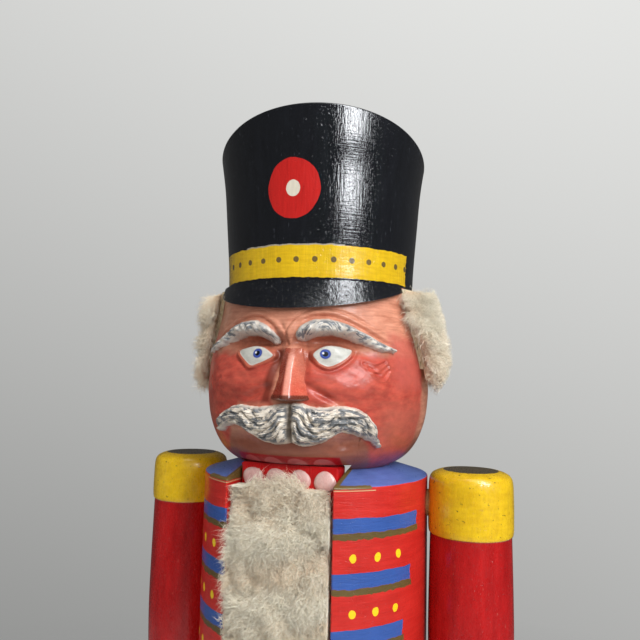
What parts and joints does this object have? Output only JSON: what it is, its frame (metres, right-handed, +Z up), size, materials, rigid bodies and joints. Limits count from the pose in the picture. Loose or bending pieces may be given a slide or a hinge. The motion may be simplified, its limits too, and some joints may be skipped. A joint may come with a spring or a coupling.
{
  "type": "nutcracker figure",
  "caption": "Free-standing turned wooden guardsman nutcracker with a hinged jaw lever, sheepskin hair and beard, tall slanted hat and straight arms.",
  "frame": {"origin": "centre of the base's underside", "axes": "+Z up the figure, -Y the way the face looks, +X towards the figure's left arm"},
  "size_m": [0.1206, 0.0987, 0.3529],
  "materials": {
    "varnished_wood": "varnished limewood, satin",
    "bare_wood": "bare beech",
    "steel": "zinc-plated, dull",
    "coat_paint": "brushed gloss enamel, red with blue, bronze and yellow",
    "red_paint": "brushed gloss enamel",
    "blue_paint": "brushed gloss enamel",
    "black_lacquer": "brushed high-gloss enamel",
    "skin_paint": "brushed gloss enamel over carving",
    "hide": "raw sheepskin edge, matt",
    "wool": "sheepskin pile, cream to grey"
  },
  "bodies": {
    "figure": {"base": "varnished_wood", "base_screws": "steel", "leg_left": "blue_paint", "leg_right": "blue_paint", "foot_left": "black_lacquer", "foot_right": "black_lacquer", "hip_dowels": "bare_wood", "trunk": "coat_paint", "jaw_pin": "bare_wood", "neck_dowels": "bare_wood", "head": "skin_paint", "nose": "skin_paint", "visor": "black_lacquer", "hair_hide": "hide", "hair_fur": "wool", "hat_dowel": "bare_wood", "hat": "black_lacquer", "arm_left": "red_paint", "arm_right": "red_paint", "shoulder_dowels": "bare_wood", "hand_left": "skin_paint", "hand_right": "skin_paint", "wrist_dowels": "bare_wood"},
    "jaw": {"jaw_lever": "red_paint", "beard_hide": "hide", "beard_fur": "wool"}
  },
  "joints": [
    {"name": "jaw_hinge", "type": "hinge", "parent": "figure", "child": "jaw", "pos_m": [0, -0.004, 0.186], "axis": [1, 0, 0], "range_deg": [0, 25]}
  ]
}
